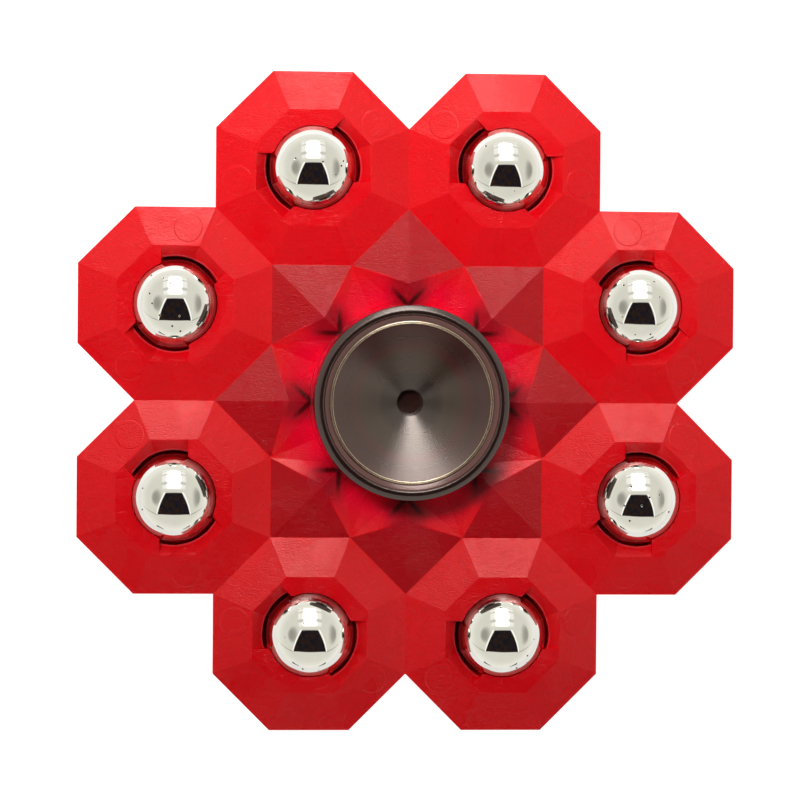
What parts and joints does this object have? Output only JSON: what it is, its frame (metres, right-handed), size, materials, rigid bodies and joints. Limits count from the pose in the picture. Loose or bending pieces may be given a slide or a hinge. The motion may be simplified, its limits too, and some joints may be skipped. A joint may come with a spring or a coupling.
{
  "type": "hand spinner",
  "caption": "Hand spinner: a ring of octagonal faceted red plastic lobes, each holding a polished steel ball, turning on a ball bearing between dished finger caps.",
  "frame": {"origin": "on the spin axis at the mid-plane of the body, the centre of the bounding box", "axes": "+Z along the spin axis out of the front cap; +X and +Y each pass between two lobes"},
  "size_m": [0.0778, 0.0778, 0.0176],
  "materials": {
    "red_plastic": "translucent red, moulded, fine drawn texture on the facets",
    "ball_steel": "polished steel ball with a few small pits",
    "cap_smoke": "smoked translucent, glossy, with fine turned rings in the dish",
    "bearing_steel": "ground",
    "bearing_ball_steel": "polished",
    "shield_steel": "pressed sheet",
    "cage_nylon": "moulded"
  },
  "bodies": {
    "hub": {"front_cap": "cap_smoke", "rear_cap": "cap_smoke", "bearing_inner_ring": "bearing_steel"},
    "rotor": {"spinner_body": "red_plastic", "weight_ball_1": "ball_steel", "weight_ball_2": "ball_steel", "weight_ball_3": "ball_steel", "weight_ball_4": "ball_steel", "weight_ball_5": "ball_steel", "weight_ball_6": "ball_steel", "weight_ball_7": "ball_steel", "weight_ball_8": "ball_steel", "bearing_outer_ring": "bearing_steel", "bearing_shield_front": "shield_steel", "bearing_shield_rear": "shield_steel"},
    "cage": {"bearing_cage": "cage_nylon", "bearing_ball_1": "bearing_ball_steel", "bearing_ball_2": "bearing_ball_steel", "bearing_ball_3": "bearing_ball_steel", "bearing_ball_4": "bearing_ball_steel", "bearing_ball_5": "bearing_ball_steel", "bearing_ball_6": "bearing_ball_steel", "bearing_ball_7": "bearing_ball_steel"}
  },
  "joints": [
    {"name": "spin", "type": "hinge", "parent": "hub", "child": "rotor", "pos_m": [0, 0, 0], "axis": [0, 0, 1], "continuous": true},
    {"name": "cage_spin", "type": "hinge", "parent": "hub", "child": "cage", "pos_m": [0, 0, 0], "axis": [0, 0, 1], "continuous": true}
  ],
  "couplings": [
    {"joint": "cage_spin", "follows": "spin", "ratio": 0.6323}
  ]
}
